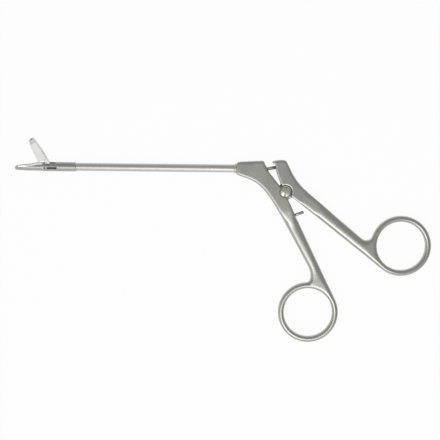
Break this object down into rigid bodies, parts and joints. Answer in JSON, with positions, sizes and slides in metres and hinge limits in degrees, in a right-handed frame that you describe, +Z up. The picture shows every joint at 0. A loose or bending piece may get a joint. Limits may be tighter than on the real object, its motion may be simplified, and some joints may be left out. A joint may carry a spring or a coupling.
{
  "type": "nasal cutting forceps",
  "caption": "Side-lying ring-handled forceps: squeezing the handles pulls a rod through a slender tube and swings a punch through an open cutting frame.",
  "frame": {"origin": "middle of the outline seen from above, on the surface that the forceps lies on", "axes": "+Z up out of the surface, along the handles' pivot screw; +X along the shaft from the jaws to the handles; +Y from the finger rings towards the shaft"},
  "size_m": [0.2096, 0.1018, 0.0094],
  "materials": {
    "handle_steel": "satin glass-beaded stainless steel",
    "shaft_steel": "fine brushed stainless steel",
    "jaw_steel": "fine ground hardened stainless steel",
    "punch_steel": "bright ground hardened stainless steel",
    "screw_steel": "polished stainless steel",
    "pin_steel": "drawn stainless wire"
  },
  "bodies": {
    "frame": {"front_handle": "handle_steel", "pivot_screw": "screw_steel", "stop_pin": "pin_steel", "nose_collar": "shaft_steel", "sheath_tube": "shaft_steel", "fixed_jaw": "jaw_steel", "jaw_hinge_pin": "pin_steel"},
    "lever": {"rear_handle": "handle_steel"},
    "rod": {"pull_rod": "pin_steel", "rod_ball": "pin_steel", "drive_pin": "pin_steel"},
    "punch": {"moving_jaw": "punch_steel"}
  },
  "joints": [
    {"name": "squeeze", "type": "hinge", "parent": "frame", "child": "lever", "pos_m": [0.03097, 0.02505, 0.0033], "axis": [0, 0, -1], "range_deg": [0, 8]},
    {"name": "rod_pull", "type": "slide", "parent": "frame", "child": "rod", "axis": [1, 0, 0], "range_m": [0, 0.00179]},
    {"name": "jaw_close", "type": "hinge", "parent": "frame", "child": "punch", "pos_m": [-0.08787, 0.03776, 0.0038], "axis": [0, -0.342, 0.9397], "range_deg": [0, 63.1]}
  ],
  "couplings": [
    {"joint": "rod_pull", "follows": "squeeze", "m_per_rad": 0.012771},
    {"joint": "jaw_close", "follows": "squeeze", "ratio": 7.875}
  ]
}
